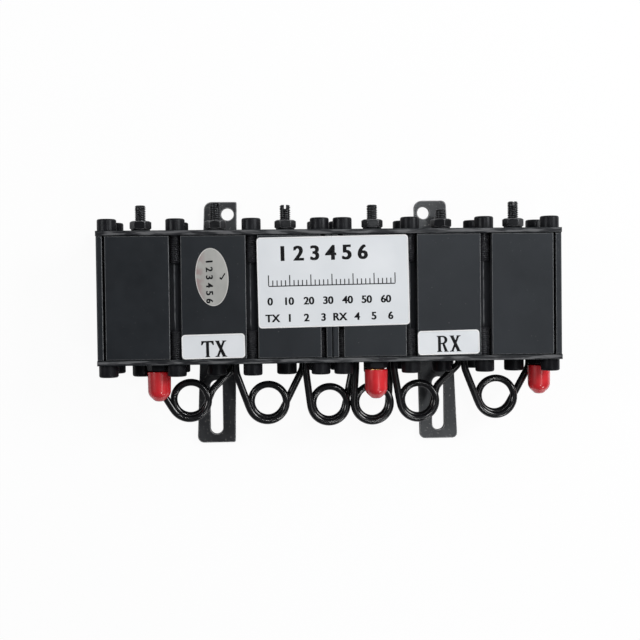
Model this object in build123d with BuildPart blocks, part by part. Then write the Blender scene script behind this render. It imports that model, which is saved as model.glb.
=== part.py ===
from build123d import *
import math
import os

# Six-cavity notch duplexer in millimetres, lying on its two mounting straps.
# X runs along the row of cavities, +Y is the tuning side and +Z is the labelled front.
# The origin is the middle of the straps' footprint, on the surface they are screwed to.

# Cavity blocks and end plates
plate_width = 170.0
plate_depth = 30.0
plate_thickness = 1.8
plate_corner = 0.5
block_height = 45.0
block_front_inset = 0.4  # the plates stand this far past the blocks at the front
block_end_inset = 0.1
block_seam = 0.1  # joint line between the two blocks
block_edge = 0.6
front_chamfer = 0.35  # along the blocks' upper and lower front edges
body_centre_y = 9.9  # the body sits this far above the middle of its straps
# Each block is shared out in equal bays, one for a cavity, whose axis is this far outward of its
# bay's middle
cavity_shifts = (2.21, 0.125, -0.46)
cavity_radius = 12.0

# Screw ports that run the whole height of a block and are open along one face
port_radius = 2.15
open_port_shifts = (0.82, 0.13)  # outward of the line between two bays
end_port_insets = (4.15, 3.5)  # from the inner and the outer end of a block
end_slot_shifts = (-1.0, 0.8)  # each slot's middle, outward of its port's axis
end_slot_widths = (2.0, 1.0)
row_spacing = 21.0

# Socket-head screws of both plates
head_radius = 3.5
head_height = 4.4
shank_radius = 2.0
shank_length = 12.0
socket_width = 3.0
socket_depth = 2.0
screw_clearance = 0.15

# Tuning screws with their bushings and lock nuts
thread_clearance = 0.05
tuning_screw_length = 25.0
tuning_screw_radius = 2.0
tuning_screw_chamfer = 0.4
driver_slot_width = 0.8
driver_slot_depth = 1.5
tuning_tips = (10.1, 11.0, 9.95, 9.8, 8.05, 10.7)  # height of each tip above the tuning plate
driver_slot_angles = (20.0, 55.0, 90.0, 35.0, 5.0, 90.0)
collar_radius = 3.5
collar_height = 1.1
bushing_radius = 3.0
bushing_reach = 4.0
nut_width = 7.0
nut_height = 3.2
nut_angles = (0.0, 0.0, 0.0, 0.0, 18.0, 12.0)

# Resonators inside the cavities
resonator_head_radius = 3.75
resonator_head_height = 4.9
resonator_head_chamfer = 0.7
resonator_socket_width = 4.0
post_radius = 4.1
post_height = 6.0
post_thread_depth = 5.0
coil_radius = 4.0
coil_strip_width = 1.6
coil_strip_thickness = 1.2
coil_pitch = 5.0
coil_turns = 3
coil_seat_gap = 0.1
lead_strip_width = 1.2
lead_strip_thickness = 0.4
lead_height = 11.0
lead_span = 5.0

# Coaxial connectors and their dust caps: X and Z of each axis from the axis of its cavity
tx_connector_offset = (6.6, 5.5)
antenna_connector_offset = (0.0, 8.2)
rx_connector_offset = (9.5, 0.5)
barrel_radius = 3.175
barrel_reach = 10.6
connector_hex_width = 8.0
connector_hex_height = 2.6
insulator_radius = 2.05
insulator_recess = 1.9
contact_radius = 0.65
contact_reach = 5.0
contact_socket_radius = 0.47
contact_socket_depth = 2.5
fit_clearance = 0.02
cap_rim_gap = 0.5
cap_rim_radius = 4.3
cap_shoulder_radius = 4.15
cap_shoulder_drop = 8.4
cap_tip_radius = 1.5
cap_length = 10.8
cap_shoulder_round = 2.4
cap_tip_round = 1.6
cap_bore_straight = 8.0
cap_bore_depth = 9.7
cap_bore_tip_radius = 1.3

# Phasing cables
cable_radius = 1.34
cable_clearance = 0.1
cable_sides = 8
front_leg_z = 15.7
back_leg_z = 11.7
cable_stub = 0.5  # how far a cable stands into its cavity
corners_per_turn = 8
turn_spread = 0.5  # the first turn is this much wider than the mean, the second this much tighter

# Mounting straps: X on the right-hand strap, mirrored for the left one
strap_thickness = 2.0
strap_length = 93.6
strap_top_edges = (34.7, 47.3)
strap_bottom_edges = (36.3, 51.1)
# Corners of each strap: inner top, outer top, outer bottom and inner bottom
left_strap_corners = (0.6, 3.0, 2.5, 0.6)
right_strap_corners = (3.0, 2.0, 2.0, 2.0)
strap_hole_radius = 2.4
strap_hole_place = (38.35, 42.0)
strap_slot_width = 4.8
strap_slot_length = 21.0
strap_slot_place = (43.55, -33.0)
strap_screw_column = 38.5
strap_screw_heights = (-2.0, 22.0)
strap_screw_radius = 1.5
strap_screw_head_radius = 2.9
strap_screw_length = 5.0
strap_screw_socket = 2.0
strap_screw_socket_depth = 1.0

# Labels
label_thickness = 0.1
main_label_size = (55.2, 32.9)
main_label_x = 0.5
main_label_drop = 17.2  # from the blocks' top edge to the label's middle
main_label_turn = 0.8
label_corner = 1.3
port_label_size = (22.8, 8.9)
port_label_turn = 0.8
tx_label_x = -43.3
tx_label_rise = 4.75  # from the blocks' bottom edge to the label's middle
rx_label_x = 42.6
rx_label_rise = 4.95
oval_radii = (5.95, 10.5)
oval_x = -43.5
oval_drop = 15.2
oval_turn = 4.0

# Worked out from the sizes above
back_z = strap_thickness
cavity_z = back_z + plate_depth / 2
front_z = back_z + plate_depth - block_front_inset
front_row_z = cavity_z + row_spacing / 2
rear_row_z = cavity_z - row_spacing / 2
block_top = body_centre_y + block_height / 2
block_bottom = body_centre_y - block_height / 2
tuning_face = block_top + plate_thickness
connector_face = block_bottom - plate_thickness
block_outer = plate_width / 2 - block_end_inset
block_inner = block_seam / 2
bay = (block_outer - block_inner) / len(cavity_shifts)
cavity_columns = [
    block_inner + (number + 0.5) * bay + shift for number, shift in enumerate(cavity_shifts)
]
cavity_xs = [-x for x in reversed(cavity_columns)] + cavity_columns
cavity_places = [(x, cavity_z) for x in cavity_xs]
open_port_columns = [
    block_inner + number * bay + shift for number, shift in enumerate(open_port_shifts, 1)
]
end_port_columns = [block_inner + end_port_insets[0], block_outer - end_port_insets[1]]
columns = sorted(open_port_columns + end_port_columns)
connector_places = {
    "tx": (cavity_xs[0] + tx_connector_offset[0], cavity_z + tx_connector_offset[1]),
    "antenna": (cavity_xs[3] + antenna_connector_offset[0], cavity_z + antenna_connector_offset[1]),
    "rx": (cavity_xs[5] + rx_connector_offset[0], cavity_z + rx_connector_offset[1]),
}
main_label_centre = (main_label_x, block_top - main_label_drop)
tx_label_centre = (tx_label_x, block_bottom + tx_label_rise)
rx_label_centre = (rx_label_x, block_bottom + rx_label_rise)
oval_centre = (oval_x, block_top - oval_drop)
screw_places = [
    (side * x, z) for side in (-1, 1) for x in columns for z in (rear_row_z, front_row_z)
]

# Each phasing cable: where its left leg enters and bends, the middle and radius of its turns,
# the bends of its right leg and where that enters. Heights are drops below the connector plate.
cable_routes = [
    (-65.0, [(-65.0, 8.5)], (-52.9, 14.3), 6.8, [(-44.7, 10.8), (-36.7, 3.0)], -36.7),
    (-35.6, [(-35.6, 4.2)], (-23.6, 15.6), 6.9, [(-10.2, 3.2)], -10.2),
    (-9.2, [(-9.2, 4.1)], (-0.3, 16.7), 6.8, [(8.8, 3.6)], 8.8),
    (9.8, [(9.8, 3.1)], (16.25, 16.6), 6.9, [(23.35, 3.6)], 23.35),
    (24.4, [(24.4, 4.2)], (33.8, 15.9), 6.8, [(41.3, 10.8), (50.1, 2.5)], 50.1),
    (51.4, [(51.4, 3.6)], (63.8, 14.8), 7.0, [(77.4, 3.8)], 77.4),
]
cable_entries = [(route[0], front_leg_z) for route in cable_routes] + [
    (route[-1], back_leg_z) for route in cable_routes
]
# The cable end in each cavity that its coupling lead stands on, and which way the lead runs in Z
lead_places = [
    (cable_routes[0][0], front_leg_z, -1),
    (cable_routes[1][0], front_leg_z, 1),
    (cable_routes[2][0], front_leg_z, 1),
    (cable_routes[4][0], front_leg_z, 1),
    (cable_routes[5][0], front_leg_z, 1),
    (cable_routes[5][-1], back_leg_z, 1),
]

os.makedirs("parts", exist_ok=True)


def save(piece, name):
    """Labels a finished piece and writes it."""
    piece.part.label = name
    export_step(piece.part, f"parts/{name}.step")


def level(y):
    """Cross-section plane at height y: local axes are X and Z, and its normal points to -Y."""
    return Plane.XZ.offset(-y)


def cavity_block(side):
    """One extruded block with three round cavities and eight screw ports."""
    length = block_outer - block_inner
    depth = front_z - back_z
    with BuildPart() as block:
        with BuildSketch(level(block_top)):
            with Locations((side * (block_inner + length / 2), back_z + depth / 2)):
                RectangleRounded(length, depth, block_edge)
            with Locations(*[(side * x, cavity_z) for x in cavity_columns]):
                Circle(cavity_radius, mode=Mode.SUBTRACT)
            for row_z, face_z in ((front_row_z, front_z), (rear_row_z, back_z)):
                opening = abs(face_z - row_z)
                middle_z = (row_z + face_z) / 2
                with Locations(*[(side * x, row_z) for x in columns]):
                    Circle(port_radius, mode=Mode.SUBTRACT)
                with Locations(*[(side * x, middle_z) for x in open_port_columns]):
                    Rectangle(2 * port_radius, opening, mode=Mode.SUBTRACT)
                for column, shift, width in zip(end_port_columns, end_slot_shifts, end_slot_widths):
                    with Locations((side * (column + shift), middle_z)):
                        Rectangle(width, opening, mode=Mode.SUBTRACT)
        extrude(amount=block_height)
        with BuildSketch(Plane.YZ.offset(side * block_inner)):
            for edge_y, inward in ((block_top, -1), (block_bottom, 1)):
                with BuildLine():
                    Polyline(
                        (edge_y, front_z),
                        (edge_y + inward * front_chamfer, front_z),
                        (edge_y, front_z - front_chamfer),
                        close=True,
                    )
                make_face()
        extrude(amount=side * length, mode=Mode.SUBTRACT)
        with BuildSketch(Plane.XY.offset(back_z)):
            with Locations(*[(side * strap_screw_column, y) for y in strap_screw_heights]):
                Circle(strap_screw_radius + thread_clearance)
        extrude(amount=strap_screw_length - back_z + fit_clearance, mode=Mode.SUBTRACT)
    return block


save(cavity_block(-1), "body_block_tx")
save(cavity_block(1), "body_block_rx")

with BuildPart() as tuning_plate:
    with BuildSketch(level(tuning_face)):
        with Locations((0, cavity_z)):
            RectangleRounded(plate_width, plate_depth, plate_corner)
        with Locations(*screw_places):
            Circle(shank_radius + screw_clearance, mode=Mode.SUBTRACT)
        with Locations(*cavity_places):
            Circle(bushing_radius + thread_clearance, mode=Mode.SUBTRACT)
    extrude(amount=plate_thickness)
save(tuning_plate, "tuning_plate")

with BuildPart() as connector_plate:
    with BuildSketch(level(block_bottom)):
        with Locations((0, cavity_z)):
            RectangleRounded(plate_width, plate_depth, plate_corner)
        with Locations(*screw_places, *cavity_places):
            Circle(shank_radius + screw_clearance, mode=Mode.SUBTRACT)
        with Locations(*connector_places.values()):
            Circle(barrel_radius + thread_clearance, mode=Mode.SUBTRACT)
        with Locations(*cable_entries):
            Circle(cable_radius + cable_clearance, mode=Mode.SUBTRACT)
    extrude(amount=plate_thickness)
save(connector_plate, "connector_plate")


def plate_screws(face_y, outward):
    """The sixteen socket-head screws of one plate, whose heads stand outward (+1 or -1 in Y)."""
    with BuildPart() as screws:
        with BuildSketch(level(face_y)):
            with Locations(*screw_places):
                Circle(head_radius)
        extrude(amount=-outward * head_height)
        with BuildSketch(level(face_y)):
            with Locations(*screw_places):
                Circle(shank_radius)
        extrude(amount=outward * shank_length)
        with BuildSketch(level(face_y + outward * head_height)):
            with Locations(*screw_places):
                RegularPolygon(socket_width / 2, 6, major_radius=False)
        extrude(amount=outward * socket_depth, mode=Mode.SUBTRACT)
    return screws


save(plate_screws(tuning_face, 1), "tuning_plate_screws")
save(plate_screws(connector_face, -1), "connector_plate_screws")

with BuildPart() as tuning_bushings:
    with BuildSketch(level(tuning_face)):
        with Locations(*cavity_places):
            Circle(collar_radius)
    extrude(amount=-collar_height)
    with BuildSketch(level(tuning_face)):
        with Locations(*cavity_places):
            Circle(bushing_radius)
    extrude(amount=plate_thickness + bushing_reach)
    with BuildSketch(level(tuning_face + collar_height)):
        with Locations(*cavity_places):
            Circle(tuning_screw_radius + thread_clearance)
    extrude(amount=collar_height + plate_thickness + bushing_reach, mode=Mode.SUBTRACT)
save(tuning_bushings, "tuning_bushings")

for number, x in enumerate(cavity_xs, 1):
    tip_y = tuning_face + tuning_tips[number - 1]
    with BuildPart() as tuning_screw:
        with BuildSketch(level(tip_y)):
            with Locations((x, cavity_z)):
                Circle(tuning_screw_radius)
        extrude(amount=tuning_screw_length)
        chamfer(tuning_screw.faces().sort_by(Axis.Y)[-1].edges(), tuning_screw_chamfer)
        with BuildSketch(level(tip_y)):
            with Locations((x, cavity_z)):
                Rectangle(
                    4 * tuning_screw_radius,
                    driver_slot_width,
                    rotation=driver_slot_angles[number - 1],
                )
        extrude(amount=driver_slot_depth, mode=Mode.SUBTRACT)
    save(tuning_screw, f"tuning_screw_{number}")

    with BuildPart() as lock_nut:
        with BuildSketch(level(tuning_face + collar_height)):
            with Locations((x, cavity_z)):
                RegularPolygon(nut_width / 2, 6, major_radius=False, rotation=nut_angles[number - 1])
                Circle(tuning_screw_radius + thread_clearance, mode=Mode.SUBTRACT)
        extrude(amount=-nut_height)
    save(lock_nut, f"lock_nut_{number}")

with BuildPart() as resonator_screws:
    with BuildSketch(level(connector_face)):
        with Locations(*cavity_places):
            Circle(resonator_head_radius)
    extrude(amount=resonator_head_height)
    head_ends = resonator_screws.faces().sort_by(Axis.Y)[: len(cavity_places)]
    chamfer(head_ends.edges(), resonator_head_chamfer)
    with BuildSketch(level(connector_face)):
        with Locations(*cavity_places):
            Circle(shank_radius)
    extrude(amount=-(plate_thickness + post_thread_depth))
    with BuildSketch(level(connector_face - resonator_head_height)):
        with Locations(*cavity_places):
            RegularPolygon(resonator_socket_width / 2, 6, major_radius=False)
    extrude(amount=-socket_depth, mode=Mode.SUBTRACT)
save(resonator_screws, "resonator_screws")

with BuildPart() as resonator_posts:
    with BuildSketch(level(block_bottom)):
        with Locations(*cavity_places):
            Circle(post_radius)
    extrude(amount=-post_height)
    with BuildSketch(level(block_bottom)):
        with Locations(*cavity_places):
            Circle(shank_radius + thread_clearance)
    extrude(amount=-(post_thread_depth + thread_clearance), mode=Mode.SUBTRACT)
save(resonator_posts, "resonator_posts")


def arc_radii(points):
    """An arc for each corner of a route that takes 0.45 of the shorter run beside it."""
    radii = []
    for before, corner, after in zip(points, points[1:], points[2:]):
        arriving = Vector(*corner) - Vector(*before)
        leaving = Vector(*after) - Vector(*corner)
        half_turn = math.radians(arriving.get_angle(leaving) / 2)
        radii.append(0.45 * min(arriving.length, leaving.length) / math.tan(half_turn))
    return radii


# A helical resonator: a flat strip wound on a square of tangent arcs, one corner a quarter turn.
for number, x in enumerate(cavity_xs, 1):
    corner_radius = coil_radius / math.cos(math.pi / 4)
    coil_start = block_bottom + post_height + coil_seat_gap + coil_strip_width / 2
    coil_points = [
        (
            x + corner_radius * math.cos(math.pi / 4 + quarter * math.pi / 2),
            coil_start + coil_pitch * quarter / 4,
            cavity_z + corner_radius * math.sin(math.pi / 4 + quarter * math.pi / 2),
        )
        for quarter in range(4 * coil_turns + 1)
    ]
    with BuildPart() as resonator_coil:
        with BuildLine() as winding:
            FilletPolyline(*coil_points, radius=arc_radii(coil_points))
        with BuildSketch(Plane(winding.line @ 0, x_dir=(0, 0, 1), z_dir=winding.line % 0)):
            Rectangle(coil_strip_thickness, coil_strip_width)
        sweep(path=winding.line)
    save(resonator_coil, f"resonator_coil_{number}")

# Coupling leads: a strip hairpin that stands on a cable's end and comes down onto the plate.
with BuildPart() as coupling_leads:
    for x, z, direction in lead_places:
        far_z = z + direction * lead_span
        foot_y = block_bottom + cable_stub
        top_y = block_bottom + lead_height
        hairpin_points = [
            (x, foot_y, z),
            (x, top_y, z),
            (x, top_y, far_z),
            (x, block_bottom, far_z),
        ]
        with BuildLine() as hairpin:
            FilletPolyline(*hairpin_points, radius=0.45 * lead_span)
        with BuildSketch(level(foot_y)):
            with Locations((x, z)):
                Rectangle(lead_strip_width, lead_strip_thickness)
        sweep(path=hairpin.line)
save(coupling_leads, "coupling_leads")

for side, place in connector_places.items():
    with BuildPart() as connector:
        with BuildSketch(level(connector_face)):
            with Locations(place):
                RegularPolygon(connector_hex_width / 2, 6, major_radius=False)
        extrude(amount=connector_hex_height)
        with BuildSketch(level(block_bottom)):
            with Locations(place):
                Circle(barrel_radius)
        extrude(amount=plate_thickness + barrel_reach)
        with BuildSketch(level(block_bottom)):
            with Locations(place):
                Circle(insulator_radius + fit_clearance)
        extrude(amount=plate_thickness + barrel_reach, mode=Mode.SUBTRACT)
    save(connector, f"{side}_connector")

    insulator_end = connector_face - barrel_reach + insulator_recess
    with BuildPart() as insulator:
        with BuildSketch(level(block_bottom)):
            with Locations(place):
                Circle(insulator_radius)
                Circle(contact_radius + fit_clearance, mode=Mode.SUBTRACT)
        extrude(amount=block_bottom - insulator_end)
    save(insulator, f"{side}_insulator")

    with BuildPart() as contact:
        with BuildSketch(level(block_bottom + contact_reach)):
            with Locations(place):
                Circle(contact_radius)
        extrude(amount=contact_reach + block_bottom - insulator_end)
        with BuildSketch(level(insulator_end)):
            with Locations(place):
                Circle(contact_socket_radius)
        extrude(amount=-contact_socket_depth, mode=Mode.SUBTRACT)
    save(contact, f"{side}_contact")

    rim_y = connector_face - connector_hex_height - cap_rim_gap
    cap_bore_radius = barrel_radius + thread_clearance
    with BuildPart() as dust_cap:
        with BuildSketch(Plane((place[0], rim_y, place[1]), x_dir=(1, 0, 0), z_dir=(0, 0, 1))):
            with BuildLine():
                outside = FilletPolyline(
                    (cap_bore_radius, 0),
                    (cap_rim_radius, 0),
                    (cap_shoulder_radius, -cap_shoulder_drop),
                    (cap_tip_radius, -cap_length),
                    (0, -cap_length),
                    radius=(0, cap_shoulder_round, cap_tip_round),
                )
                Polyline(
                    outside @ 1,
                    (0, -cap_bore_depth),
                    (cap_bore_tip_radius, -cap_bore_depth),
                    (cap_bore_radius, -cap_bore_straight),
                    outside @ 0,
                )
            make_face()
        revolve(axis=Axis((place[0], rim_y, place[1]), (0, 1, 0)))
    save(dust_cap, f"{side}_dust_cap")


def below_plate(point):
    """X and Y of a route's point that is given as X and a drop below the connector plate."""
    return point[0], connector_face - point[1]


def tangent_angle(centre, knee, radius, arriving):
    """Angle of the point of a circle where a leg from its knee meets it, turning anticlockwise."""
    towards = math.atan2(knee[1] - centre[1], knee[0] - centre[0])
    distance = math.hypot(knee[0] - centre[0], knee[1] - centre[1])
    swing = math.acos(radius / distance)
    return towards + swing if arriving else towards - swing


for number, (left_x, left_bends, middle, mean_radius, right_bends, right_x) in enumerate(cable_routes, 1):
    left_knees = [below_plate(point) for point in left_bends]
    right_knees = [below_plate(point) for point in right_bends]
    centre = below_plate(middle)
    first_radius = mean_radius + turn_spread
    last_radius = mean_radius - turn_spread
    start = tangent_angle(centre, left_knees[-1], first_radius, True) % (2 * math.pi)
    stop = tangent_angle(centre, right_knees[0], last_radius, False) % (2 * math.pi)
    sweep_angle = stop - start
    while sweep_angle < 2 * math.pi:
        sweep_angle += 2 * math.pi
    corners = round(sweep_angle / (2 * math.pi) * corners_per_turn)
    step = sweep_angle / corners
    route = [(left_x, block_bottom + cable_stub, front_leg_z)]
    route += [(x, y, front_leg_z) for x, y in left_knees]
    for corner in range(corners):
        share = (corner + 0.5) / corners
        turned = min(1.0, share * sweep_angle / (2 * math.pi))
        radius = first_radius + (last_radius - first_radius) * turned
        angle = start + share * sweep_angle
        route.append(
            (
                centre[0] + radius / math.cos(step / 2) * math.cos(angle),
                centre[1] + radius / math.cos(step / 2) * math.sin(angle),
                front_leg_z + (back_leg_z - front_leg_z) * share,
            )
        )
    route += [(x, y, back_leg_z) for x, y in right_knees]
    route.append((right_x, block_bottom + cable_stub, back_leg_z))
    radii = arc_radii(route)
    with BuildPart() as coax_loop:
        with BuildLine() as path:
            FilletPolyline(*route, radius=radii)
        with BuildSketch(Plane(path.line @ 0, z_dir=path.line % 0)):
            RegularPolygon(cable_radius, cable_sides)
        sweep(path=path.line)
    length = path.wire().length
    section = 0.5 * cable_sides * cable_radius**2 * math.sin(2 * math.pi / cable_sides)
    print(
        f"coax_loop_{number} length {length:.1f}, smallest bend {min(radii):.2f},"
        f" volume {coax_loop.part.volume:.1f} of {length * section:.1f}"
    )
    save(coax_loop, f"coax_loop_{number}")

for side, name, corner_radii in (
    (-1, "left_strap", left_strap_corners),
    (1, "right_strap", right_strap_corners),
):
    half_length = strap_length / 2
    strap_corners = [
        (side * strap_top_edges[0], half_length),
        (side * strap_top_edges[1], half_length),
        (side * strap_bottom_edges[1], -half_length),
        (side * strap_bottom_edges[0], -half_length),
    ]
    with BuildPart() as strap:
        with BuildSketch() as outline:
            with BuildLine():
                Polyline(*strap_corners, close=True)
            make_face()
            for corner, radius in zip(strap_corners, corner_radii):
                fillet(outline.vertices().sort_by_distance(corner)[0], radius)
            with Locations((side * strap_hole_place[0], strap_hole_place[1])):
                Circle(strap_hole_radius, mode=Mode.SUBTRACT)
            with Locations((side * strap_slot_place[0], strap_slot_place[1])):
                SlotOverall(strap_slot_length, strap_slot_width, rotation=90, mode=Mode.SUBTRACT)
        extrude(amount=strap_thickness)
        with Locations(
            *[
                Plane((side * strap_screw_column, y, 0), z_dir=(0, 0, -1))
                for y in strap_screw_heights
            ]
        ):
            CounterSinkHole(
                strap_screw_radius + screw_clearance,
                strap_screw_head_radius + 2 * thread_clearance,
                counter_sink_angle=90,
            )
    save(strap, name)

with BuildPart() as strap_screws:
    head_depth = strap_screw_head_radius - strap_screw_radius
    for x in (-strap_screw_column, strap_screw_column):
        for y in strap_screw_heights:
            with Locations((x, y, thread_clearance)):
                Cone(
                    strap_screw_head_radius,
                    strap_screw_radius,
                    head_depth,
                    align=(Align.CENTER, Align.CENTER, Align.MIN),
                )
                Cylinder(
                    strap_screw_radius,
                    strap_screw_length - thread_clearance,
                    align=(Align.CENTER, Align.CENTER, Align.MIN),
                )
    with BuildSketch(Plane.XY.offset(thread_clearance)):
        with Locations(
            *[
                (x, y)
                for x in (-strap_screw_column, strap_screw_column)
                for y in strap_screw_heights
            ]
        ):
            RegularPolygon(strap_screw_socket / 2, 6, major_radius=False)
    extrude(amount=strap_screw_socket_depth, mode=Mode.SUBTRACT)
save(strap_screws, "strap_screws")

with BuildPart() as main_label:
    with BuildSketch(Plane.XY.offset(front_z)):
        with Locations(Location(main_label_centre, main_label_turn)):
            RectangleRounded(*main_label_size, label_corner)
    extrude(amount=label_thickness)
save(main_label, "main_label")

for name, centre in (("tx_label", tx_label_centre), ("rx_label", rx_label_centre)):
    with BuildPart() as port_label:
        with BuildSketch(Plane.XY.offset(front_z)):
            with Locations(Location(centre, port_label_turn)):
                RectangleRounded(*port_label_size, label_corner)
        extrude(amount=label_thickness)
    save(port_label, name)

with BuildPart() as oval_sticker:
    with BuildSketch(Plane.XY.offset(front_z)):
        with Locations(Location(oval_centre, oval_turn)):
            Ellipse(*oval_radii)
    extrude(amount=label_thickness)
save(oval_sticker, "oval_sticker")
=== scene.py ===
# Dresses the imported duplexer: sprayed black blocks, plates and straps, turned and threaded screws,
# red dust caps, wound phasing cables and printed labels. Lengths are millimetres until makePiece.
import math
import bpy
import numpy as np
from mathutils import Matrix, Vector


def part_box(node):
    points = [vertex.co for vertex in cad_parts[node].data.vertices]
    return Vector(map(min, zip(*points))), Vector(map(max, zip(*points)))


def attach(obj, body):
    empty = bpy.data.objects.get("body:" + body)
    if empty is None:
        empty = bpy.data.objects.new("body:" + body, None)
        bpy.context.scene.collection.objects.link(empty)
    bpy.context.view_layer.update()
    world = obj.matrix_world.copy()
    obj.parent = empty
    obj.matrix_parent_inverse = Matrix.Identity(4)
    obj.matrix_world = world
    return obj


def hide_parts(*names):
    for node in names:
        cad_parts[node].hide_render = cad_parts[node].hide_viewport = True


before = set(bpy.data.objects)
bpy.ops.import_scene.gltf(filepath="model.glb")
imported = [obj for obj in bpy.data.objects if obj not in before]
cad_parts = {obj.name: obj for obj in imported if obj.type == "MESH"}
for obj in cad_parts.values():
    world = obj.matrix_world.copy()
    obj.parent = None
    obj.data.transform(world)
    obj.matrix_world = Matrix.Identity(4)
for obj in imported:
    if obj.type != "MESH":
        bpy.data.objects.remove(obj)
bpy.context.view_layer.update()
mm = 0.001
fullTurn = 2 * math.pi
collection = bpy.context.scene.collection
print("frame loaded:", len(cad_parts), "nodes")


def spanOf(node):  # lowest and highest corner of a CAD node in millimetres
    low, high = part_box(node)
    return np.array(low) / mm, np.array(high) / mm


# Camera of the photograph: it looks almost straight down on the labelled front
viewpoint = {
    "place": (-28.113, 10.868, 414.997),
    "turn": -3.8631,  # degrees about the axis below
    "axis": (0.36822, 0.91056, 0.18788),
    "lens": 59.455,
    "sensor": 36.0,
}


def setCamera(view):
    data = bpy.data.cameras.new("photoCamera")
    data.lens = view["lens"]
    data.sensor_width = view["sensor"]
    data.clip_start = 0.01
    camera = bpy.data.objects.new("photoCamera", data)
    turn = Matrix.Rotation(math.radians(view["turn"]), 4, Vector(view["axis"]))
    camera.matrix_world = Matrix.Translation(Vector(view["place"]) * mm) @ turn
    collection.objects.link(camera)
    bpy.context.scene.camera = camera


setCamera(viewpoint)

# Light: a dim soft room, panels on four sides and three small lamps for thin highlights
lighting = {
    "roomColour": (0.93, 0.96, 1.0),
    "roomStrength": 0.13,
    "panels": [
        {"name": "rightPanel", "place": (540, 280, 500), "size": (300, 260), "watts": 3.8},
        {"name": "leftPanel", "place": (-520, 120, 430), "size": (200, 200), "watts": 1.1},
        {"name": "topPanel", "place": (0, 480, 330), "size": (500, 120), "watts": 0.6},
        {"name": "smallLamp", "place": (70, 110, 520), "size": (36, 36), "watts": 0.24},
        {"name": "lowPanel", "place": (330, -400, 260), "size": (150, 70), "watts": 0.5},
        {"name": "lowLamp", "place": (150, -100, 400), "size": (130, 90), "watts": 0.07},
        {"name": "glintLamp", "place": (115, -190, 430), "size": (60, 24), "watts": 0.17},
    ],
    "aim": (0, 5, 15),
}


def setLights(light):
    for panel in light["panels"]:
        data = bpy.data.lights.new(panel["name"], "AREA")
        data.shape = "RECTANGLE"
        data.size, data.size_y = (side * mm for side in panel["size"])
        data.energy = panel["watts"]
        lamp = bpy.data.objects.new(panel["name"], data)
        reach = Vector(light["aim"]) - Vector(panel["place"])
        lamp.matrix_world = (
            Matrix.Translation(Vector(panel["place"]) * mm)
            @ reach.to_track_quat("-Z", "Y").to_matrix().to_4x4()
        )
        collection.objects.link(lamp)
    world = bpy.data.worlds.new("softRoom")
    world.use_nodes = True
    bpy.context.scene.world = world
    nodes, links = world.node_tree.nodes, world.node_tree.links
    room = nodes["Background"]
    room.inputs["Color"].default_value = (*light["roomColour"], 1.0)
    room.inputs["Strength"].default_value = light["roomStrength"]
    seen = nodes.new("ShaderNodeBackground")
    seen.inputs["Color"].default_value = (1.0, 1.0, 1.0, 1.0)
    path = nodes.new("ShaderNodeLightPath")
    mix = nodes.new("ShaderNodeMixShader")
    links.new(path.outputs["Is Camera Ray"], mix.inputs[0])
    links.new(room.outputs[0], mix.inputs[1])
    links.new(seen.outputs[0], mix.inputs[2])
    links.new(mix.outputs[0], nodes["World Output"].inputs["Surface"])


setLights(lighting)
bpy.context.scene.view_settings.view_transform = "Standard"
print("camera and lights set")


# Finishes. Every pattern reads Object coordinates in metres, so a scale of 1000 is one per millimetre.
def wire(material, kind, inputs=None, **settings):  # adds one node and feeds its inputs
    tree = material.node_tree
    node = tree.nodes.new(kind)
    for setting, value in settings.items():
        setattr(node, setting, value)
    for socket, value in (inputs or {}).items():
        if isinstance(value, bpy.types.NodeSocket):
            tree.links.new(value, node.inputs[socket])
        else:
            node.inputs[socket].default_value = value
    return node


def coordinates(material):
    return wire(material, "ShaderNodeTexCoord").outputs["Object"]


def noise(material, scale, detail=3.0, stretch=None):  # noise value, stretched along an axis if asked
    where = coordinates(material)
    if stretch:
        where = wire(material, "ShaderNodeMapping", {"Vector": where, "Scale": stretch}).outputs[0]
    inputs = {"Vector": where, "Scale": scale, "Detail": detail}
    return wire(material, "ShaderNodeTexNoise", inputs).outputs["Fac"]


def ranged(material, value, low, high, toLow, toHigh):  # maps low..high to toLow..toHigh, held at both ends
    inputs = {"Value": value, "From Min": low, "From Max": high, "To Min": toLow, "To Max": toHigh}
    return wire(material, "ShaderNodeMapRange", inputs).outputs[0]


def rising(material, value, start, stop, unit=1.0):  # 0 up to start, 1 from stop, even between them
    return ranged(material, value, start * unit, stop * unit, 0.0, 1.0)


def spread(material, value, low, high):  # a noise, nearly all of it within 0.3..0.7, laid over low..high
    return ranged(material, value, 0.3, 0.7, low, high)


def axesOf(material, vector):
    return wire(material, "ShaderNodeSeparateXYZ", {"Vector": vector}).outputs


def times(material, a, b):
    return wire(material, "ShaderNodeMath", {0: a, 1: b}, operation="MULTIPLY").outputs[0]


def blended(material, share, first, second):  # colour between two colours or sockets
    inputs = {"Factor": share, 6: first, 7: second}
    return wire(material, "ShaderNodeMix", inputs, data_type="RGBA").outputs[2]


def bumped(material, height, depth, strength, normal=None):
    inputs = {"Height": height, "Distance": depth * mm, "Strength": strength}
    if normal:
        inputs["Normal"] = normal
    return wire(material, "ShaderNodeBump", inputs).outputs[0]


def softEdge(material, radius):  # normal that rounds sharp edges, and how near an edge a point is
    rounded = wire(material, "ShaderNodeBevel", {"Radius": radius * mm}, samples=6).outputs[0]
    flat = wire(material, "ShaderNodeNewGeometry").outputs["True Normal"]
    inputs = {0: rounded, 1: flat}
    along = wire(material, "ShaderNodeVectorMath", inputs, operation="DOT_PRODUCT").outputs["Value"]
    return rounded, rising(material, along, 0.99, 0.9)


def newFinish(name, **values):
    material = bpy.data.materials.new(name)
    material.use_nodes = True
    shader = material.node_tree.nodes["Principled BSDF"]
    for socket, value in values.items():
        shader.inputs[socket].default_value = value
    return material, shader


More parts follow.
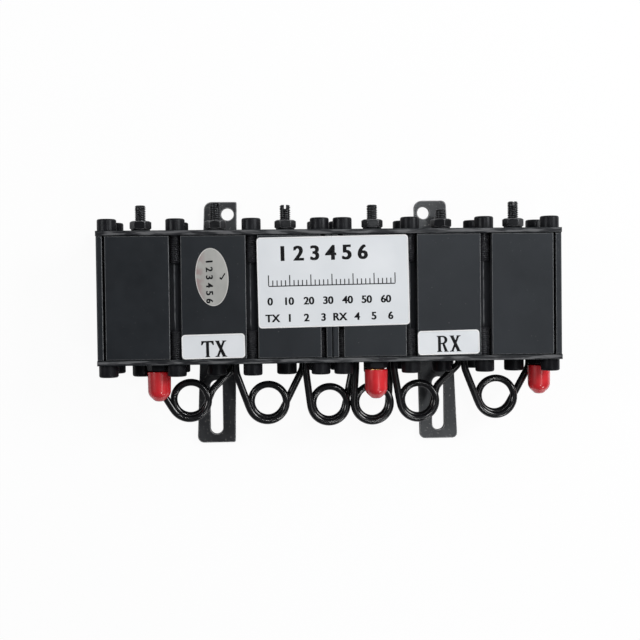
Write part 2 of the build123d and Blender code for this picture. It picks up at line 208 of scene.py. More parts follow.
def dressed(material, shader, colour, rough, normal=None):  # feeds what a finish ends with
    for socket, source in (("Base Color", colour), ("Roughness", rough), ("Normal", normal)):
        if source:
            material.node_tree.links.new(source, shader.inputs[socket])
    return material


# Black coats by finish. What a coat doesn't give for itself is as in plainCoat. A coat's edge colour is
# painted light: a painted highlight on edges and chamfers, and on the plates a painted shade.
plainCoat = {
    "tint": (0.93, 0.97, 1.0, 1), "stretch": (1.0, 1.0, 1.0), "mix": (0.35, 0.65),
    "grain": 2600, "grainDepth": 0.01, "dustScale": 900,
}
paint = {
    "body": {"dark": (0.005, 0.006, 0.0077, 1), "light": (0.0082, 0.0096, 0.0118, 1), "rough": (0.38, 0.46),
             "gloss": 0.45, "tint": (0.87, 0.93, 1.0, 1), "cloud": 70, "grain": 1500, "grainDepth": 0.012,
             "edge": 0.42, "edgeBreakup": (0.2, 0.45), "edgeShadingColour": (0.25, 0.255, 0.26, 1),
             "dust": 0.72, "dustColour": (0.09, 0.09, 0.09, 1), "dustScale": 1300,
             # grooves: a paler colour that is painted fill light in their shade, and a painted highlight line
             # down each
             "groove": {"front": 31.6, "back": 20.0, "end": 84.4, "rough": 0.2,
                        "colour": (0.045, 0.047, 0.052, 1), "line": (0.34, 0.345, 0.36, 1), "half": 0.26,
                        "soft": 0.5, "low": -3.0, "high": 22.6,
                        "at": (-57.4, -29.7, -4.4, 4.3, 29.3, 57.0)}},
    "plate": {"dark": (0.009, 0.009, 0.011, 1), "light": (0.105, 0.106, 0.11, 1), "rough": (0.34, 0.5),
              "broad": (0.0095, 0.01, 0.0115, 1), "gloss": 0.35, "cloud": 1100, "stretch": (0.12, 1.0, 1.0),
              "mix": (0.44, 0.58), "grain": 1900, "grainDepth": 0.02,
              "edge": 0.6, "edgeBreakup": (0.1, 0.4), "edgeShadingColour": (0.003, 0.006, 0.007, 1),
              "dust": 0.68, "dustColour": (0.06, 0.06, 0.06, 1)},
    "strap": {"dark": (0.02, 0.02, 0.022, 1), "light": (0.036, 0.037, 0.039, 1), "rough": (0.28, 0.36),
              "gloss": 0.5, "cloud": 220, "stretch": (1.0, 0.4, 1.0), "grain": 1300, "grainDepth": 0.02,
              "edge": 0.75, "edgeBreakup": (0.25, 0.45), "edgeShadingColour": (0.45, 0.45, 0.455, 1),
              "dust": 0.66, "dustColour": (0.2, 0.195, 0.18, 1), "dustScale": 1300},
    "screw": {"dark": (0.004, 0.004, 0.005, 1), "light": (0.01, 0.01, 0.012, 1), "rough": (0.3, 0.42),
              "gloss": 0.15, "cloud": 300, "edge": 0.14, "edgeBreakup": (0.45, 0.6),
              "edgeShadingColour": (0.03, 0.03, 0.03, 1), "dust": 0.74, "dustColour": (0.06, 0.06, 0.06, 1)},
    "shank": {"dark": (0.022, 0.022, 0.026, 1), "light": (0.048, 0.048, 0.054, 1), "rough": (0.24, 0.34),
              "gloss": 0.5, "cloud": 500, "edge": 0.04, "edgeBreakup": (0.3, 0.5),
              "edgeShadingColour": (0.12, 0.12, 0.12, 1), "dust": 0.72, "dustColour": (0.1, 0.1, 0.1, 1)},
    "nut": {"dark": (0.005, 0.005, 0.006, 1), "light": (0.012, 0.012, 0.014, 1), "rough": (0.26, 0.36),
            "gloss": 0.26, "cloud": 300, "edge": 0.34, "edgeBreakup": (0.2, 0.45),
            "edgeShadingColour": (0.3, 0.3, 0.31, 1), "dust": 0.72, "dustColour": (0.1, 0.1, 0.1, 1)},
    "thread": {"dark": (0.004, 0.004, 0.005, 1), "light": (0.02, 0.02, 0.022, 1), "rough": (0.24, 0.36),
               "gloss": 0.4, "cloud": 900, "edge": 0.04, "edgeBreakup": (0.3, 0.5),
               "edgeShadingColour": (0.1, 0.1, 0.1, 1), "dust": 0.72, "dustColour": (0.1, 0.1, 0.1, 1)},
}


def nearest(material, value, places):  # distance from a value to the nearest of the places
    best = None
    for place in places:
        off = wire(material, "ShaderNodeMath", {0: value, 1: place * mm}, operation="SUBTRACT").outputs[0]
        off = wire(material, "ShaderNodeMath", {0: off}, operation="ABSOLUTE").outputs[0]
        if best is not None:
            off = wire(material, "ShaderNodeMath", {0: best, 1: off}, operation="MINIMUM").outputs[0]
        best = off
    return best


def grooved(material, groove, colour, rough):
    # In the grooves the paint is painted paler, a painted fill light in their shade, and is smoother: share =
    # (z < front) x (z > back) x (|x| < end).
    # A thin painted highlight line runs down each: share x (distance from the line's x < half) x (low < y <
    # high).
    place = axesOf(material, coordinates(material))
    front, back, end, half, soft = (groove[key] for key in ("front", "back", "end", "half", "soft"))
    behind = rising(material, place["Z"], front - soft, front - 2 * soft, mm)
    before = rising(material, place["Z"], back, back + 2 * soft, mm)
    inward = rising(material, nearest(material, place["X"], [0.0]), end, end - 0.2, mm)
    share = times(material, times(material, behind, before), inward)
    colour = blended(material, share, colour, groove["colour"])
    rough = wire(material, "ShaderNodeMix", {0: share, 2: rough, 3: groove["rough"]}).outputs[0]
    line = rising(material, nearest(material, place["X"], groove["at"]), half, half / 2, mm)
    above = rising(material, place["Y"], groove["low"], groove["low"] + 6 * soft, mm)
    under = rising(material, place["Y"], groove["high"], groove["high"] - soft, mm)
    line = times(material, times(material, line, share), times(material, above, under))
    broken = ranged(material, noise(material, 800, 4.0, (1.0, 0.35, 1.0)), 0.35, 0.6, 0.25, 1.0)
    return blended(material, times(material, line, broken), colour, groove["line"]), rough


def sprayedBlack(name, given):
    # Clouds or streaks of two blacks, dust specks, edges painted paler as a highlight (darker, as a painted
    # shade, on the plates) where noise allows, fine orange peel.
    coat = {**plainCoat, **given}
    material, shader = newFinish(name, **{"Specular IOR Level": coat["gloss"], "Specular Tint": coat["tint"]})
    cloud = rising(material, noise(material, coat["cloud"], 4.0, coat["stretch"]), *coat["mix"])
    colour = blended(material, cloud, coat["dark"], coat["light"])
    if "broad" in coat:  # faces square to Y are evenly coated, only the narrow ones are streaked
        normal = wire(material, "ShaderNodeNewGeometry").outputs["True Normal"]
        across = nearest(material, axesOf(material, normal)["Y"], [0.0])
        colour = blended(material, rising(material, across, 0.6, 0.8), colour, coat["broad"])
    dust = noise(material, coat["dustScale"], 2.0)
    speck = ranged(material, dust, coat["dust"], coat["dust"] + 0.05, 0.0, 0.8)
    colour = blended(material, speck, colour, coat["dustColour"])
    rough = spread(material, noise(material, 240, 4.0), *coat["rough"])
    # grooves: painted fill light and a painted highlight line
    if "groove" in coat:
        colour, rough = grooved(material, coat["groove"], colour, rough)
    rounded, nearEdge = softEdge(material, coat["edge"])
    # Painted light at the edges: a painted highlight along edges and chamfers, a painted shade on the plates'
    # edges, broken up by noise.
    edgeShading = times(material, nearEdge, rising(material, noise(material, 900, 4.0), *coat["edgeBreakup"]))
    colour = blended(material, edgeShading, colour, coat["edgeShadingColour"])
    peel = bumped(material, noise(material, coat["grain"], 3.0), coat["grainDepth"], 0.6, rounded)
    return dressed(material, shader, colour, rough, peel)


def plainMetal(name, dark, light, rough, grain):
    # Bare plated or turned metal: two tones of the colour, fine lines and a roughness that follows them.
    material, shader = newFinish(name, Metallic=1.0)
    line = noise(material, grain, 4.0)
    return dressed(material, shader, blended(material, line, dark, light), spread(material, line, *rough),
                   bumped(material, line, 0.01, 0.4))


def redVinyl(name, vinyl):
    # Soft red plastic: a darker and a brighter red in slow patches, slight dimples, gloss from a thin coat.
    material, shader = newFinish(name, **{
        "Coat Weight": vinyl["coat"], "Coat Roughness": vinyl["coatRough"],
        "Subsurface Weight": vinyl["depth"], "Subsurface Radius": vinyl["spread"],
        "Subsurface Scale": vinyl["reach"] * mm,
    })
    patch = rising(material, noise(material, 160, 3.0), 0.35, 0.65)
    colour = blended(material, patch, vinyl["dark"], vinyl["light"])
    rough = spread(material, noise(material, 500, 3.0), 0.28, 0.42)
    return dressed(material, shader, colour, rough, bumped(material, noise(material, 260, 2.0), 0.05, 0.35))


def sleeveBlack(name):
    # Black cable sleeve: near-black, semi-gloss, with faint drawn lines and scuffs.
    material, shader = newFinish(name, **{"Specular IOR Level": 0.5})
    scuff = rising(material, noise(material, 380, 4.0), 0.5, 0.75)
    colour = blended(material, scuff, (0.005, 0.005, 0.006, 1), (0.011, 0.011, 0.013, 1))
    rough = spread(material, noise(material, 300, 2.0), 0.14, 0.22)
    return dressed(material, shader, colour, rough, bumped(material, noise(material, 400, 1.0), 0.008, 0.2))


def labelFilm(name, film):
    # Printed film: a cool white with a slow drift, brighter rim where it is cut, almost flat surface.
    material, shader = newFinish(name, **{"Specular IOR Level": 0.4})
    drift = rising(material, noise(material, 55, 2.0), 0.35, 0.65)
    colour = blended(material, drift, film["dark"], film["light"])
    rounded, nearEdge = softEdge(material, 0.35)
    colour = blended(material, nearEdge, colour, film["rim"])
    rough = spread(material, noise(material, 300, 3.0), 0.38, 0.5)
    fine = bumped(material, noise(material, 900, 2.0), 0.006, 0.4, rounded)
    return dressed(material, shader, colour, rough, fine)


def silverFilm(name, film):
    # Metallised sticker: warm grey streaks, a pinkish patch on its left side and a bright cut edge.
    material, shader = newFinish(name, Metallic=0.35)
    streak = noise(material, 420, 4.0, (1.0, 0.35, 1.0))
    colour = blended(material, streak, film["dark"], film["light"])
    across = axesOf(material, coordinates(material))["X"]
    left = rising(material, across, film["patchFrom"], film["patchTo"], mm)
    torn = times(material, left, ranged(material, noise(material, 330, 4.0), 0.42, 0.55, 0.0, 0.9))
    colour = blended(material, torn, colour, film["patch"])
    rounded, nearEdge = softEdge(material, 0.3)
    colour = blended(material, nearEdge, colour, film["rim"])
    rough = spread(material, streak, 0.36, 0.55)
    return dressed(material, shader, colour, rough, bumped(material, streak, 0.01, 0.4, rounded))


def printInk(name):
    # Flat black ink, a little worn in spots.
    material, shader = newFinish(name, **{"Specular IOR Level": 0.12})
    wornInk = rising(material, noise(material, 1200, 3.0), 0.4, 0.75)
    colour = blended(material, wornInk, (0.003, 0.003, 0.004, 1), (0.014, 0.014, 0.016, 1))
    return dressed(material, shader, colour, spread(material, noise(material, 800), 0.4, 0.55))


def matteDielectric(name):
    # Milky white plastic with faint clouds.
    material, shader = newFinish(name, **{"Subsurface Weight": 0.1})
    cloud = noise(material, 600)
    colour = blended(material, cloud, (0.78, 0.78, 0.75, 1), (0.88, 0.88, 0.86, 1))
    rough = spread(material, cloud, 0.45, 0.6)
    return dressed(material, shader, colour, rough, bumped(material, cloud, 0.01, 0.3))


coatNames = {"body": "sprayedBody", "plate": "wornPlate", "strap": "coatedStrap", "screw": "blackScrew",
             "shank": "blackShank", "nut": "blackNut", "thread": "blackThread"}
finishes = {
    **{finish: sprayedBlack(name, paint[finish]) for finish, name in coatNames.items()},
    "sleeve": sleeveBlack("cableSleeve"),
    "cap": redVinyl("redVinyl", {"dark": (0.5, 0.008, 0.014, 1), "light": (0.66, 0.012, 0.02, 1),
                                 "coat": 0.75, "coatRough": 0.07, "depth": 0.12,
                                 "spread": (1.0, 0.12, 0.1), "reach": 0.6}),
    "gold": plainMetal("goldPlate", (0.62, 0.42, 0.16, 1), (0.86, 0.64, 0.3, 1), (0.22, 0.36), 900),
    "brass": plainMetal("turnedBrass", (0.55, 0.38, 0.14, 1), (0.75, 0.56, 0.26, 1), (0.25, 0.4), 1200),
    "silver": plainMetal("silverPlate", (0.7, 0.68, 0.64, 1), (0.85, 0.84, 0.8, 1), (0.2, 0.34), 800),
    "dielectric": matteDielectric("whiteDielectric"),
    "film": labelFilm("labelFilm", {"dark": (0.655, 0.68, 0.705, 1), "light": (0.715, 0.735, 0.76, 1),
                                    "rim": (0.9, 0.9, 0.9, 1)}),
    "paleRim": labelFilm("paleRim", {"dark": (0.55, 0.54, 0.52, 1), "light": (0.62, 0.61, 0.59, 1),
                                     "rim": (0.7, 0.7, 0.68, 1)}),
    "rim": labelFilm("rimFilm", {"dark": (0.86, 0.86, 0.86, 1), "light": (0.9, 0.9, 0.9, 1),
                                 "rim": (0.9, 0.9, 0.9, 1)}),
    "silverFilm": silverFilm("silverFilm", {"dark": (0.34, 0.34, 0.325, 1), "light": (0.49, 0.488, 0.465, 1),
                                            "patch": (0.34, 0.25, 0.245, 1), "rim": (0.7, 0.68, 0.64, 1),
                                            "patchFrom": -45.5, "patchTo": -48.5}),
    "ink": printInk("printInk"),
}

nodeFinishes = {
    "body": ["body_block_tx", "body_block_rx"],
    "plate": ["tuning_plate", "connector_plate"],
    "strap": ["left_strap", "right_strap"],
    "screw": ["tuning_bushings", "strap_screws"],
    "brass": ["resonator_posts"],
    "silver": [f"resonator_coil_{number}" for number in range(1, 7)] + ["coupling_leads"],
    "dielectric": [f"{port}_insulator" for port in ("tx", "antenna", "rx")],
    "gold": [f"{port}_contact" for port in ("tx", "antenna", "rx")],
    "film": ["main_label", "tx_label", "rx_label"],
    "silverFilm": ["oval_sticker"],
}
for finish, nodes in nodeFinishes.items():
    for node in nodes:
        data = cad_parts[node].data
        data.materials.clear()
        data.materials.append(finishes[finish])
print("finishes made:", len(finishes))


# Shells: arrays of rings, each ring a row of points. Consecutive rings are joined by quads and the
# ends close on a middle point. Rings run so that (along the ring) x (to the next ring) points outwards.
def skin(rings, closedAlong=False):
    count, perRing = rings.shape[:2]
    index = np.arange(count * perRing).reshape(count, perRing)
    index = np.concatenate([index, index[:, :1]], axis=1)
    if closedAlong:
        index = np.concatenate([index, index[:1]], axis=0)
    quads = np.stack([index[:-1, :-1], index[:-1, 1:], index[1:, 1:], index[1:, :-1]], axis=-1)
    points = rings.reshape(-1, 3)
    fans = np.zeros((0, 3), int)
    if not closedAlong:
        first, last = len(points), len(points) + 1
        points = np.concatenate([points, rings[[0, -1]].mean(axis=1)])
        start = np.stack([index[0, 1:], index[0, :-1], np.full(perRing, first)], axis=-1)
        end = np.stack([index[-1, :-1], index[-1, 1:], np.full(perRing, last)], axis=-1)
        fans = np.concatenate([start, end])
    return points, quads.reshape(-1, 4), fans


def makePiece(name, shells, materials, body, replaced=(), sharp=32.0, parts=None):
    # Joins the shells in one mesh in metres; parts gives each shell the number of its material.
    mesh = bpy.data.meshes.new(name)
    start, faces, numbers = 0, [], []
    for place, (points, quads, fans) in enumerate(shells):
        faces += (quads + start).tolist() + (fans + start).tolist()
        numbers += [parts[place] if parts else 0] * (len(quads) + len(fans))
        start += len(points)
    mesh.from_pydata(np.concatenate([shell[0] for shell in shells]) * mm, [], faces)
    for material in materials:
        mesh.materials.append(material)
    mesh.polygons.foreach_set("material_index", np.array(numbers, dtype=np.int32))
    mesh.polygons.foreach_set("use_smooth", np.ones(len(faces), dtype=bool))
    mesh.set_sharp_from_angle(angle=math.radians(sharp))
    mesh.update()
    piece = bpy.data.objects.new(name, mesh)
    collection.objects.link(piece)
    if replaced:
        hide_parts(*replaced)
    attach(piece, body)


def around(count):  # angles of a full circle's points
    return np.arange(count) * fullTurn / count


def turned(radius, height, place, base, outward, count=None):
    # Rings round a line along Y: each point stands radius from it, height beyond base on the outward side.
    radius = radius.reshape(len(radius), -1)
    angle = around(count or radius.shape[1])
    radius = np.broadcast_to(radius, (len(radius), len(angle)))
    level = base + outward * np.broadcast_to(height[:, None], radius.shape)
    rings = np.stack([place[0] + radius * np.sin(angle), level, place[1] + radius * np.cos(angle)], axis=-1)
    return rings if outward > 0 else rings[::-1]


def roundedLine(corners, radii, steps=7):
    # Straight runs between corners, each corner replaced by an arc tangent to both of its runs.
    corners = np.array(corners, float)
    line = [corners[:1]]
    for before, corner, after, radius in zip(corners, corners[1:], corners[2:], radii):
        arriving = (corner - before) / np.linalg.norm(corner - before)
        leaving = (after - corner) / np.linalg.norm(after - corner)
        turn = math.acos(np.clip(arriving @ leaving, -1, 1))
        if radius == 0:
            line.append(corner[None])
            continue
        side = leaving - arriving * (arriving @ leaving)
        side /= np.linalg.norm(side)
        angle = np.linspace(0, turn, steps)[:, None]
        arc = arriving * np.sin(angle) + side * (1 - np.cos(angle))
        line.append(corner - arriving * radius * math.tan(turn / 2) + radius * arc)
    line.append(corners[-1:])
    return np.concatenate(line)


def hexRadius(angle, width, turn=0.0):
    # Distance to a hexagon's side: half its width over the cosine of the angle from that side's middle.
    sector = (angle - math.radians(turn) + math.pi / 6) % (math.pi / 3) - math.pi / 6
    return width / 2 / np.cos(sector)


def threadCut(height, angle, pitch, depth):
    # How deep the thread is cut: depth times a wave with broad flat crests that climbs one pitch a turn.
    wave = np.abs(2 * ((height / pitch - angle / fullTurn) % 1) - 1)
    return depth * np.clip(2 * wave - 0.95, 0, 1)


def threaded(length, radius, pitch, depth, ends, count, perTurn, least=0.3):
    # Radius of each point: the full radius less the thread's cut, and less again in each end's chamfer.
    # No radius falls below the least.
    height = np.linspace(0, length, int(length / pitch * perTurn) + 1)[:, None]
    cut = radius - threadCut(height, around(count), pitch, depth)
    limit = np.minimum(radius - ends[0] + height, radius - ends[1] + length - height)
    return np.minimum(cut, np.maximum(limit, least)), height[:, 0]


# Socket-head screws of both plates and of the resonators
screws = {
    "shankRadius": 2.0, "shankLength": 12.0, "pitch": 0.7, "threadDepth": 0.4, "shankChamfer": 0.45,
    "shankCount": 24, "ringsPerTurn": 6, "intoHead": 0.3,
    "headRadius": 3.5, "headHeight": 4.4, "headRound": 0.7, "footChamfer": 0.12, "footHole": 0.6,
    "headCount": 60, "socketWidth": 3.0, "socketDepth": 2.0, "socketMouth": 0.18, "socketLand": 0.6,
    "drillTip": 0.35, "drillShare": 0.55,
    "resonatorHeadRadius": 3.75, "resonatorHeadHeight": 4.9, "resonatorRound": 0.8,
    "resonatorSocket": 4.0, "resonatorShank": 6.5,
    "columns": (-81.4, -56.75, -29.15, -4.2, 4.2, 29.15, 56.75, 81.4),
}


def screwHead(place, base, outward, radius, height, rounding, socket):
    # Profile of the head's side and rounded top, then a hexagonal socket with a small mouth chamfer.
    side = roundedLine([(radius - screws["footChamfer"], 0), (radius, screws["footChamfer"]),
                        (radius, height), (socket / 2 + screws["socketLand"], height)], (0, rounding))
    count = screws["headCount"]
    hexagon = hexRadius(around(count), socket)
    mouth = screws["socketMouth"]
    floor = height - screws["socketDepth"]
    rows = [np.full(count, reach) for reach in (screws["footHole"] * radius, *side[:, 0])]
    rows += [hexagon + mouth, hexagon, hexagon, hexagon * screws["drillShare"]]
    heights = [0.0, *side[:, 1], height, height - mouth, floor, floor - screws["drillTip"]]
    return skin(turned(np.array(rows), np.array(heights), place, base, outward))


def screwShank(place, base, outward, length):
    # A threaded rod from its chamfered end, one length inside base, up into the head.
    radius, height = threaded(
        length + screws["intoHead"], screws["shankRadius"], screws["pitch"], screws["threadDepth"],
        (screws["shankChamfer"], 0.0), screws["shankCount"], screws["ringsPerTurn"])
    return skin(turned(radius, height - length, place, base, outward))


def plateScrews(name, node, outward):
    # Two rows of screws, each row one head radius in from the node's lowest or highest Z.
    low, high = spanOf(node)
    radius, height = screws["headRadius"], screws["headHeight"]
    base = high[1] - height if outward > 0 else low[1] + height
    places = [(x, z) for x in screws["columns"] for z in (low[2] + radius, high[2] - radius)]
    shells = [screwHead(place, base, outward, radius, height, screws["headRound"], screws["socketWidth"])
              for place in places]
    shells += [screwShank(place, base, outward, screws["shankLength"]) for place in places]
    makePiece(name, shells, [finishes["screw"], finishes["shank"]], "housing", [node],
              parts=[0] * len(places) + [1] * len(places))


plateScrews("tuningPlateScrews", "tuning_plate_screws", 1)
plateScrews("connectorPlateScrews", "connector_plate_screws", -1)

# X and Z of each cavity's middle, and the outer face of the connector plate
cavities = [tuple((np.add(*spanOf(f"lock_nut_{number}")) / 2)[[0, 2]]) for number in range(1, 7)]
plateFace = spanOf("connector_plate")[0][1]
makePiece(
    "resonatorScrews",
    [screwHead(place, plateFace, -1, screws["resonatorHeadRadius"], screws["resonatorHeadHeight"],
               screws["resonatorRound"], screws["resonatorSocket"]) for place in cavities]
    + [screwShank(place, plateFace, -1, screws["resonatorShank"]) for place in cavities],
    [finishes["screw"]], "housing", ["resonator_screws"],
)
print("socket-head screws made")

# Tuning screws: a threaded rod whose driver slot parts its end in two lips
tuning = {
    "radius": 2.0, "pitch": 0.7, "threadDepth": 0.5, "tipChamfer": 0.4, "length": 25.0,
    "slotWidth": 0.8, "slotDepth": 1.5, "slotAngles": (20.0, 55.0, 90.0, 35.0, 5.0, 90.0),
    "count": 36, "ringsPerTurn": 8, "lipPoints": 28, "lipRings": 20, "wallPoints": 6, "lipSink": 0.05,
}


def slotLip(place, top, angle, side):
    # Half of the slotted end: an arc of the thread outside, a flat wall along the slot, its rings climbing.
    half = tuning["slotWidth"] / 2
    start = math.asin(half / tuning["radius"])
    arc = np.linspace(start, math.pi - start, tuning["lipPoints"])
    height = np.linspace(-tuning["slotDepth"] - tuning["lipSink"], 0, tuning["lipRings"])[:, None]
    turn = math.radians(90.0 - angle) + (0 if side > 0 else math.pi)
    facing = arc + turn - math.pi / 2
    cut = threadCut(height + tuning["length"], facing, tuning["pitch"], tuning["threadDepth"])
    radius = tuning["radius"] - np.maximum(cut, tuning["tipChamfer"] + height)
    along, off = radius * np.cos(arc), np.maximum(radius * np.sin(arc), half)
    flat = np.linspace(0, 1, tuning["wallPoints"] + 2)[1:-1]
    along = np.concatenate([along, along[:, -1:] + (along[:, :1] - along[:, -1:]) * flat], axis=1)
    off = np.concatenate([off, np.full((len(height), len(flat)), half)], axis=1)
    x = place[0] + along * math.sin(turn) + off * math.cos(turn)
    z = place[1] + along * math.cos(turn) - off * math.sin(turn)
    return skin(np.stack([x, top + height + 0 * along, z], axis=-1)[:, ::-1])


def tuningScrew(number, place):
    # The rod stops at the slot's floor, and two lips stand on it.
    name = f"tuning_screw_{number}"
    top = spanOf(name)[1][1]
    length = tuning["length"] - tuning["slotDepth"]
    radius, height = threaded(length, tuning["radius"], tuning["pitch"], tuning["threadDepth"],
                              (tuning["tipChamfer"], 0.0), tuning["count"], tuning["ringsPerTurn"])
    rod = skin(turned(radius, height - length - tuning["slotDepth"], place, top, 1))
    lips = [slotLip(place, top, tuning["slotAngles"][number - 1], side) for side in (1, -1)]
    makePiece(f"tuningScrew{number}", [rod, *lips], [finishes["thread"]], name,
              [name])


# Lock nuts: a hexagon cut back by a cone at both faces, with a bore
nuts = {"width": 7.0, "turns": (0.0, 0.0, 0.0, 0.0, -18.0, -12.0), "bore": 2.05, "boreMouth": 0.35,
        "face": 3.28, "slope": 0.55, "levels": (0, 0.06, 0.14, 0.24, 0.36, 0.5), "count": 96}


def hexBand(place, base, height, outward, width, turn, bore, mouth):
    # Each ring is the smaller of the hexagon and a cone that widens away from the nearer face.
    angle = around(nuts["count"])
    steps = np.array(nuts["levels"]) * min(1.0, height)
    level = np.concatenate([steps, height - steps[::-1]])
    face = nuts["face"] * width / nuts["width"]
    cone = face + np.minimum(level, height - level) / nuts["slope"]
    outside = np.minimum(hexRadius(angle, width, turn), cone[:, None])
    inside = np.array([bore + mouth, bore, bore, bore + mouth])[:, None] + 0 * angle
    level = np.concatenate([level, [height, height - mouth, mouth, 0]])
    rings = turned(np.concatenate([outside, inside]), level, place, base, outward)
    return skin(rings, closedAlong=True)


for number, place in enumerate(cavities, 1):
    tuningScrew(number, place)
    low, high = spanOf(f"lock_nut_{number}")
    shell = hexBand(place, low[1], high[1] - low[1], 1, nuts["width"], nuts["turns"][number - 1],
                    nuts["bore"], nuts["boreMouth"])
    makePiece(f"lockNut{number}", [shell], [finishes["nut"]], f"lock_nut_{number}",
              [f"lock_nut_{number}"])
print("tuning screws and lock nuts made")

# Coaxial ports: a black hexagon, a gold threaded barrel, a thin black ring past the hexagon that is painted
# shade over the barrel's root, and a red vinyl dust cap
ports = {
    "names": ("tx", "antenna", "rx"), "hexWidth": 8.0, "hexHeight": 2.6, "hexBore": 2.875, "hexMouth": 0.3,
    "barrelRadius": 3.175, "barrelReach": 10.6, "barrelSink": 1.4, "pitch": 0.7056, "threadDepth": 0.36,
    "threadEnd": 0.35, "bore": 2.07, "boreMouth": 0.25, "count": 48, "ringsPerTurn": 8,
    "capRadius": 4.3, "capShoulder": 4.15, "shoulderDrop": 8.3, "tipRadius": 1.5, "capLength": 10.8,
    "capBore": 3.225, "boreStraight": 8.0, "boreDepth": 9.7, "boreTip": 1.3, "rimRound": 0.3,
    "shoulderRound": 3.2, "tipRound": 2.0, "poleRadius": 0.3, "capCount": 64, "arcSteps": 12,
    # the thin ring past the hexagon is painted shade: a dark band over the thread's root, where shade falls
    "shadeRingWidth": 6.6, "shadeRingHeight": 0.35, "shadeRingSink": 0.1, "shadeRingBore": 3.05, "shadeRingMouth": 0.05,
    "mouthRise": {"tx": 0.25, "antenna": 0.0, "rx": 0.25},  # how much nearer the hexagon a cap is pushed
}


def portBarrel(place):
    # A threaded tube: outside, then down its bore, from the end inwards and back below the plate's face.
    reach, mouth, sink = ports["barrelReach"], ports["boreMouth"], ports["barrelSink"]
    radius, height = threaded(reach, ports["barrelRadius"], ports["pitch"], ports["threadDepth"],
                              (0.0, ports["threadEnd"]), ports["count"], ports["ringsPerTurn"])
    bore = np.full((2, ports["count"]), ports["bore"])
    bore[0] += mouth
    radius = np.concatenate([radius, bore, bore[1:], radius[:1]])
    height = np.concatenate([height, [reach, reach - mouth, -sink, -sink]])
    return skin(turned(radius, height, place, plateFace, -1), closedAlong=True)


def dustCap(place, rim, rise):
    # Profile turned once round: up the bore, over the mouth, down the side, round the shoulder and tip.
    inside = [(ports["boreTip"], ports["boreDepth"]), (ports["capBore"], ports["boreStraight"])]
    outside = roundedLine(
        [(ports["capBore"], -rise), (ports["capRadius"], -rise),
         (ports["capShoulder"], ports["shoulderDrop"]), (ports["tipRadius"], ports["capLength"]),
         (ports["poleRadius"], ports["capLength"])],
        (ports["rimRound"], ports["shoulderRound"], ports["tipRound"]), ports["arcSteps"])
    radius, height = np.concatenate([inside, outside]).T
    return skin(turned(radius, height, place, rim, -1, ports["capCount"]))


for port in ports["names"]:
    low, high = spanOf(f"{port}_connector")
    place = tuple((low + high)[[0, 2]] / 2)
    collar = hexBand(place, plateFace, ports["hexHeight"], -1, ports["hexWidth"], 0.0, ports["hexBore"],
                     ports["hexMouth"])
    # Painted shade: a thin black ring that hides the gold thread just past the hexagon, where shade falls.
    shadeRing = hexBand(place, plateFace - ports["hexHeight"] + ports["shadeRingSink"], ports["shadeRingHeight"], -1,
                     ports["shadeRingWidth"], 0.0, ports["shadeRingBore"], ports["shadeRingMouth"])
    makePiece(f"{port}Connector", [collar, shadeRing, portBarrel(place)], [finishes["screw"], finishes["gold"]],
              "housing", [f"{port}_connector"], parts=[0, 0, 1])
    rim = spanOf(f"{port}_dust_cap")[1][1]
    makePiece(f"{port}DustCap", [dustCap(place, rim, ports["mouthRise"][port])], [finishes["cap"]],
              f"{port}_dust_cap", [f"{port}_dust_cap"], sharp=50.0)
print("ports and dust caps made")

# Phasing cables: knees of the left leg, middle and radius of the turns, knees of the right leg. Heights
# are drops below the connector plate. The left leg lies in front, the right one behind.
cables = {
    "radius": 1.34, "frontZ": 15.7, "backZ": 11.7, "stub": 2.3, "spread": 0.5, "step": 0.45,
    "softening": 1.1, "coilPoints": 240, "count": 24,
    "routes": [
        ([(-65.0, 8.5)], (-52.9, 14.3), 6.8, [(-44.7, 10.8), (-36.7, 3.0)]),
        ([(-35.6, 4.2)], (-23.6, 15.6), 6.9, [(-10.2, 3.2)]),
        ([(-9.2, 4.1)], (-0.3, 16.7), 6.8, [(8.8, 3.6)]),
        ([(9.8, 3.1)], (16.25, 16.6), 6.9, [(23.35, 3.6)]),
        ([(24.4, 4.2)], (33.8, 15.9), 6.8, [(41.3, 10.8), (50.1, 2.5)]),
        ([(51.4, 3.6)], (63.8, 14.8), 7.0, [(77.4, 3.8)]),
    ],
}


def tangentAngle(middle, knee, radius, arriving):
    # Where a leg from its knee touches the circle: the knee's direction, swung by arccos(radius / reach).
    reach = np.subtract(knee, middle)
    swing = math.acos(radius / np.linalg.norm(reach))
    towards = math.atan2(reach[1], reach[0])
    return (towards + (swing if arriving else -swing)) % fullTurn


def even(points, step):  # the same line with points a step apart
    reach = np.concatenate([[0], np.cumsum(np.linalg.norm(np.diff(points, axis=0), axis=1))])
    marks = np.linspace(0, reach[-1], int(reach[-1] / step) + 1)
    return np.stack([np.interp(marks, reach, points[:, axis]) for axis in range(3)], axis=-1)


def softened(points, width):  # Gaussian average along the line, its ends carried on by point reflection
    span = int(4 * width)
    weights = np.exp(-0.5 * (np.arange(-span, span + 1) / width) ** 2)
    weights /= weights.sum()
    before = 2 * points[0] - points[span:0:-1]
    after = 2 * points[-1] - points[-2:-span - 2:-1]
    padded = np.concatenate([before, points, after])
    return np.stack([np.convolve(padded[:, axis], weights, "valid") for axis in range(3)], axis=-1)


